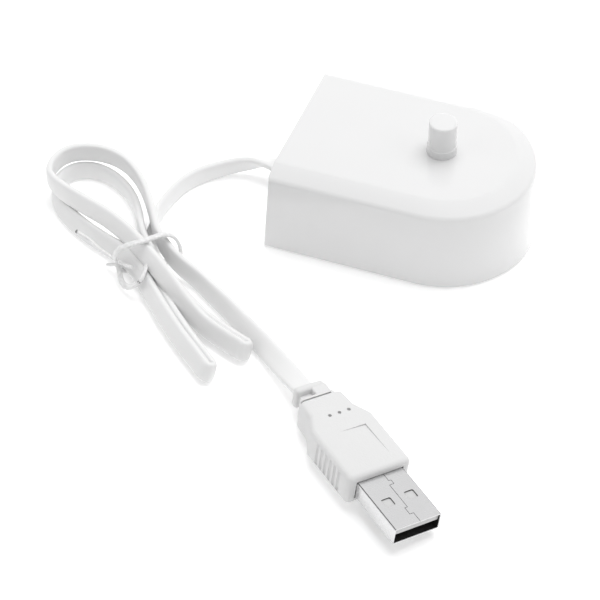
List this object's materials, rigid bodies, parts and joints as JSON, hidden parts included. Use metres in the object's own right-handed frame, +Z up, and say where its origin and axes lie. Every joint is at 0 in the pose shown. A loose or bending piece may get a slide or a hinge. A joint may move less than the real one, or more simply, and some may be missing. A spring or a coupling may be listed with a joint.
{
  "type": "toothbrush charging base",
  "caption": "D-shaped charging base for an electric toothbrush, with a round peg on its flat top and a flat low-voltage lead, folded and tied, that ends in a USB plug.",
  "frame": {"origin": "middle of the base's footprint, on the table under the rubber feet", "axes": "+X from the flat back to the round end, +Y to the side away from the folded lead, +Z up"},
  "size_m": [0.1247, 0.1265, 0.0327],
  "materials": {
    "housing": "glossy white moulded plastic",
    "cover": "fine-textured white plastic",
    "gasket": "soft dark grey rubber",
    "foot_rubber": "pale grey soft rubber",
    "screw_steel": "plated steel",
    "board": "green lacquered glass-fibre board",
    "bobbin": "ivory moulded plastic",
    "copper_wire": "enamelled copper wire in close turns",
    "ferrite": "dark sintered ferrite",
    "pin_metal": "tinned brass",
    "capacitor_can": "dark blue sleeve on an aluminium can",
    "film_capacitor": "dipped dark red coating",
    "chip_black": "black epoxy",
    "chip_ceramic": "tan ceramic",
    "lead_plastic": "satin white flexible plastic",
    "wire_red": "red wire insulation",
    "wire_black": "black wire insulation",
    "tie_plastic": "white plastic over a soft steel wire",
    "plug_plastic": "satin white moulded plastic",
    "plug_metal": "nickel-plated folded sheet",
    "insulator_white": "white plastic",
    "contact_metal": "gold-plated spring contacts"
  },
  "bodies": {
    "root": {"top_housing": "housing", "bottom_cover": "cover", "cover_gasket": "gasket", "rubber_feet": "foot_rubber", "cover_screws": "screw_steel", "circuit_board": "board", "board_screws": "screw_steel", "coil_bobbin": "bobbin", "coil_winding": "copper_wire", "ferrite_core": "ferrite", "terminal_pins": "pin_metal", "smoothing_capacitor": "capacitor_can", "resonance_capacitor": "film_capacitor", "filter_choke": "ferrite", "driver_chip": "chip_black", "power_transistor": "chip_black", "chip_parts": "chip_ceramic", "cord_gland": "lead_plastic", "jacket_end": "lead_plastic", "cord_clamp": "cover", "clamp_screws": "screw_steel", "supply_wire_red": "wire_red", "supply_wire_black": "wire_black", "lead_first": "lead_plastic", "lead_hank": "lead_plastic", "lead_last": "lead_plastic", "twist_tie": "tie_plastic", "plug_moulding": "plug_plastic", "plug_inner_block": "bobbin", "plug_shell": "plug_metal", "plug_insulator": "insulator_white", "plug_contacts": "contact_metal", "plug_wires": "wire_red"}
  },
  "joints": []
}
